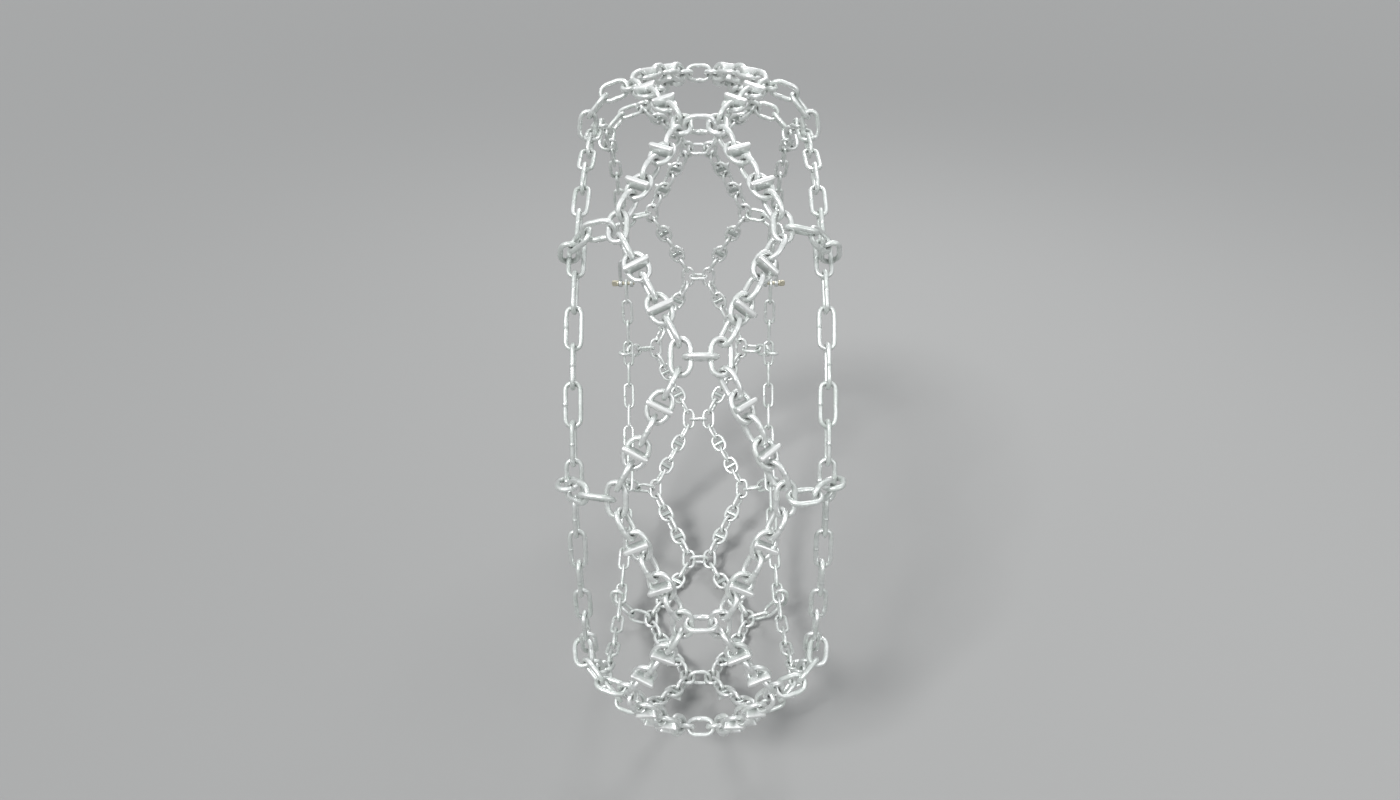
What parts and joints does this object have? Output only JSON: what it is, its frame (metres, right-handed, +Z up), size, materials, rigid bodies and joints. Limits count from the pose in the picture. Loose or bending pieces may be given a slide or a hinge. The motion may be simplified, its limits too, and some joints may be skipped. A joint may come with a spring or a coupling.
{
  "type": "forklift tyre chain",
  "caption": "Diamond-pattern tyre chain for a forklift wheel: studded welded links over the tread, side ties over the shoulders and two side chains closed by screw-pin shackles.",
  "frame": {"origin": "the centre of the wheel that the chain is fitted on", "axes": "+Y along the wheel's axle, +Z up, +X out of the tread towards the viewer"},
  "size_m": [0.8834, 0.301, 0.8694],
  "materials": {
    "tread_chain": "bright zinc plate, rubbed on the studs",
    "centre_link": "bright zinc plate",
    "side_tie": "bright zinc plate",
    "side_chain": "zinc plate with a faint green-grey cast",
    "shackle_bow": "zinc plate",
    "shackle_pin": "zinc plate, slightly yellow"
  },
  "bodies": {
    "net": {"tread_strand_left_01": "tread_chain", "tread_strand_left_02": "tread_chain", "tread_strand_left_03": "tread_chain", "tread_strand_left_04": "tread_chain", "tread_strand_left_05": "tread_chain", "tread_strand_left_06": "tread_chain", "tread_strand_left_07": "tread_chain", "tread_strand_left_08": "tread_chain", "tread_strand_left_09": "tread_chain", "tread_strand_left_10": "tread_chain", "tread_strand_right_01": "tread_chain", "tread_strand_right_02": "tread_chain", "tread_strand_right_03": "tread_chain", "tread_strand_right_04": "tread_chain", "tread_strand_right_05": "tread_chain", "tread_strand_right_06": "tread_chain", "tread_strand_right_07": "tread_chain", "tread_strand_right_08": "tread_chain", "tread_strand_right_09": "tread_chain", "tread_strand_right_10": "tread_chain", "side_chain_left_a": "side_chain", "side_chain_left_b": "side_chain", "side_chain_left_c": "side_chain", "side_chain_right_a": "side_chain", "side_chain_right_b": "side_chain", "side_chain_right_c": "side_chain"},
    "centre_link_01": {"centre_link_01": "centre_link"},
    "centre_link_02": {"centre_link_02": "centre_link"},
    "centre_link_03": {"centre_link_03": "centre_link"},
    "centre_link_04": {"centre_link_04": "centre_link"},
    "centre_link_05": {"centre_link_05": "centre_link"},
    "centre_link_06": {"centre_link_06": "centre_link"},
    "centre_link_07": {"centre_link_07": "centre_link"},
    "centre_link_08": {"centre_link_08": "centre_link"},
    "centre_link_09": {"centre_link_09": "centre_link"},
    "centre_link_10": {"centre_link_10": "centre_link"},
    "side_tie_left_01": {"side_tie_left_01": "side_tie"},
    "side_tie_left_02": {"side_tie_left_02": "side_tie"},
    "side_tie_left_03": {"side_tie_left_03": "side_tie"},
    "side_tie_left_04": {"side_tie_left_04": "side_tie"},
    "side_tie_left_05": {"side_tie_left_05": "side_tie"},
    "side_tie_left_06": {"side_tie_left_06": "side_tie"},
    "side_tie_left_07": {"side_tie_left_07": "side_tie"},
    "side_tie_left_08": {"side_tie_left_08": "side_tie"},
    "side_tie_left_09": {"side_tie_left_09": "side_tie"},
    "side_tie_left_10": {"side_tie_left_10": "side_tie"},
    "shackle_bow_left": {"shackle_bow_left": "shackle_bow"},
    "shackle_pin_left": {"shackle_pin_left": "shackle_pin"},
    "side_tie_right_01": {"side_tie_right_01": "side_tie"},
    "side_tie_right_02": {"side_tie_right_02": "side_tie"},
    "side_tie_right_03": {"side_tie_right_03": "side_tie"},
    "side_tie_right_04": {"side_tie_right_04": "side_tie"},
    "side_tie_right_05": {"side_tie_right_05": "side_tie"},
    "side_tie_right_06": {"side_tie_right_06": "side_tie"},
    "side_tie_right_07": {"side_tie_right_07": "side_tie"},
    "side_tie_right_08": {"side_tie_right_08": "side_tie"},
    "side_tie_right_09": {"side_tie_right_09": "side_tie"},
    "side_tie_right_10": {"side_tie_right_10": "side_tie"},
    "shackle_bow_right": {"shackle_bow_right": "shackle_bow"},
    "shackle_pin_right": {"shackle_pin_right": "shackle_pin"}
  },
  "joints": [
    {"name": "centre_link_01_roll", "type": "hinge", "parent": "net", "child": "centre_link_01", "pos_m": [0.43, 0, 0], "axis": [0, 1, 0], "range_deg": [-22, 22]},
    {"name": "centre_link_02_roll", "type": "hinge", "parent": "net", "child": "centre_link_02", "pos_m": [0.34788, 0, 0.25275], "axis": [0, 1, 0], "range_deg": [-22, 22]},
    {"name": "centre_link_03_roll", "type": "hinge", "parent": "net", "child": "centre_link_03", "pos_m": [0.13288, 0, 0.40895], "axis": [0, 1, 0], "range_deg": [-22, 22]},
    {"name": "centre_link_04_roll", "type": "hinge", "parent": "net", "child": "centre_link_04", "pos_m": [-0.13288, 0, 0.40895], "axis": [0, 1, 0], "range_deg": [-22, 22]},
    {"name": "centre_link_05_roll", "type": "hinge", "parent": "net", "child": "centre_link_05", "pos_m": [-0.34788, 0, 0.25275], "axis": [0, 1, 0], "range_deg": [-22, 22]},
    {"name": "centre_link_06_roll", "type": "hinge", "parent": "net", "child": "centre_link_06", "pos_m": [-0.43, 0, 0], "axis": [0, 1, 0], "range_deg": [-22, 22]},
    {"name": "centre_link_07_roll", "type": "hinge", "parent": "net", "child": "centre_link_07", "pos_m": [-0.34788, 0, -0.25275], "axis": [0, 1, 0], "range_deg": [-22, 22]},
    {"name": "centre_link_08_roll", "type": "hinge", "parent": "net", "child": "centre_link_08", "pos_m": [-0.13288, 0, -0.40895], "axis": [0, 1, 0], "range_deg": [-22, 22]},
    {"name": "centre_link_09_roll", "type": "hinge", "parent": "net", "child": "centre_link_09", "pos_m": [0.13288, 0, -0.40895], "axis": [0, 1, 0], "range_deg": [-22, 22]},
    {"name": "centre_link_10_roll", "type": "hinge", "parent": "net", "child": "centre_link_10", "pos_m": [0.34788, 0, -0.25275], "axis": [0, 1, 0], "range_deg": [-22, 22]},
    {"name": "side_tie_left_01_swing", "type": "hinge", "parent": "net", "child": "side_tie_left_01", "pos_m": [0.39775, -0.08788, 0.12923], "axis": [-0.7301, -0.6409, -0.2372], "range_deg": [-7, 7]},
    {"name": "side_tie_left_02_swing", "type": "hinge", "parent": "net", "child": "side_tie_left_02", "pos_m": [0.24582, -0.08788, 0.33834], "axis": [-0.4512, -0.6409, -0.621], "range_deg": [-7, 7]},
    {"name": "side_tie_left_03_swing", "type": "hinge", "parent": "net", "child": "side_tie_left_03", "pos_m": [0, -0.08788, 0.41821], "axis": [0, -0.6409, -0.7676], "range_deg": [-7, 7]},
    {"name": "side_tie_left_04_swing", "type": "hinge", "parent": "net", "child": "side_tie_left_04", "pos_m": [-0.24582, -0.08788, 0.33834], "axis": [0.4512, -0.6409, -0.621], "range_deg": [-7, 7]},
    {"name": "side_tie_left_05_swing", "type": "hinge", "parent": "net", "child": "side_tie_left_05", "pos_m": [-0.39775, -0.08788, 0.12923], "axis": [0.7301, -0.6409, -0.2372], "range_deg": [-7, 7]},
    {"name": "side_tie_left_06_swing", "type": "hinge", "parent": "net", "child": "side_tie_left_06", "pos_m": [-0.39775, -0.08788, -0.12923], "axis": [0.7301, -0.6409, 0.2372], "range_deg": [-7, 7]},
    {"name": "side_tie_left_07_swing", "type": "hinge", "parent": "net", "child": "side_tie_left_07", "pos_m": [-0.24582, -0.08788, -0.33834], "axis": [0.4512, -0.6409, 0.621], "range_deg": [-7, 7]},
    {"name": "side_tie_left_08_swing", "type": "hinge", "parent": "net", "child": "side_tie_left_08", "pos_m": [0, -0.08788, -0.41821], "axis": [0, -0.6409, 0.7676], "range_deg": [-7, 7]},
    {"name": "side_tie_left_09_swing", "type": "hinge", "parent": "net", "child": "side_tie_left_09", "pos_m": [0.24582, -0.08788, -0.33834], "axis": [-0.4512, -0.6409, 0.621], "range_deg": [-7, 7]},
    {"name": "side_tie_left_10_swing", "type": "hinge", "parent": "net", "child": "side_tie_left_10", "pos_m": [0.39775, -0.08788, -0.12923], "axis": [-0.7301, -0.6409, 0.2372], "range_deg": [-7, 7]},
    {"name": "shackle_bow_left_roll", "type": "hinge", "parent": "net", "child": "shackle_bow_left", "pos_m": [-0.36204, -0.12562, 0.03805], "axis": [-0.1045, 0, -0.9945], "range_deg": [-12, 12]},
    {"name": "shackle_pin_left_out", "type": "slide", "parent": "shackle_bow_left", "child": "shackle_pin_left", "axis": [0, -1, 0], "range_m": [0, 0.027]},
    {"name": "side_tie_right_01_swing", "type": "hinge", "parent": "net", "child": "side_tie_right_01", "pos_m": [0.39775, 0.08788, 0.12923], "axis": [-0.7301, 0.6409, -0.2372], "range_deg": [-7, 7]},
    {"name": "side_tie_right_02_swing", "type": "hinge", "parent": "net", "child": "side_tie_right_02", "pos_m": [0.24582, 0.08788, 0.33834], "axis": [-0.4512, 0.6409, -0.621], "range_deg": [-7, 7]},
    {"name": "side_tie_right_03_swing", "type": "hinge", "parent": "net", "child": "side_tie_right_03", "pos_m": [0, 0.08788, 0.41821], "axis": [0, 0.6409, -0.7676], "range_deg": [-7, 7]},
    {"name": "side_tie_right_04_swing", "type": "hinge", "parent": "net", "child": "side_tie_right_04", "pos_m": [-0.24582, 0.08788, 0.33834], "axis": [0.4512, 0.6409, -0.621], "range_deg": [-7, 7]},
    {"name": "side_tie_right_05_swing", "type": "hinge", "parent": "net", "child": "side_tie_right_05", "pos_m": [-0.39775, 0.08788, 0.12923], "axis": [0.7301, 0.6409, -0.2372], "range_deg": [-7, 7]},
    {"name": "side_tie_right_06_swing", "type": "hinge", "parent": "net", "child": "side_tie_right_06", "pos_m": [-0.39775, 0.08788, -0.12923], "axis": [0.7301, 0.6409, 0.2372], "range_deg": [-7, 7]},
    {"name": "side_tie_right_07_swing", "type": "hinge", "parent": "net", "child": "side_tie_right_07", "pos_m": [-0.24582, 0.08788, -0.33834], "axis": [0.4512, 0.6409, 0.621], "range_deg": [-7, 7]},
    {"name": "side_tie_right_08_swing", "type": "hinge", "parent": "net", "child": "side_tie_right_08", "pos_m": [0, 0.08788, -0.41821], "axis": [0, 0.6409, 0.7676], "range_deg": [-7, 7]},
    {"name": "side_tie_right_09_swing", "type": "hinge", "parent": "net", "child": "side_tie_right_09", "pos_m": [0.24582, 0.08788, -0.33834], "axis": [-0.4512, 0.6409, 0.621], "range_deg": [-7, 7]},
    {"name": "side_tie_right_10_swing", "type": "hinge", "parent": "net", "child": "side_tie_right_10", "pos_m": [0.39775, 0.08788, -0.12923], "axis": [-0.7301, 0.6409, 0.2372], "range_deg": [-7, 7]},
    {"name": "shackle_bow_right_roll", "type": "hinge", "parent": "net", "child": "shackle_bow_right", "pos_m": [-0.36204, 0.12562, 0.03805], "axis": [-0.1045, 0, -0.9945], "range_deg": [-12, 12]},
    {"name": "shackle_pin_right_out", "type": "slide", "parent": "shackle_bow_right", "child": "shackle_pin_right", "axis": [0, 1, 0], "range_m": [0, 0.027]}
  ]
}
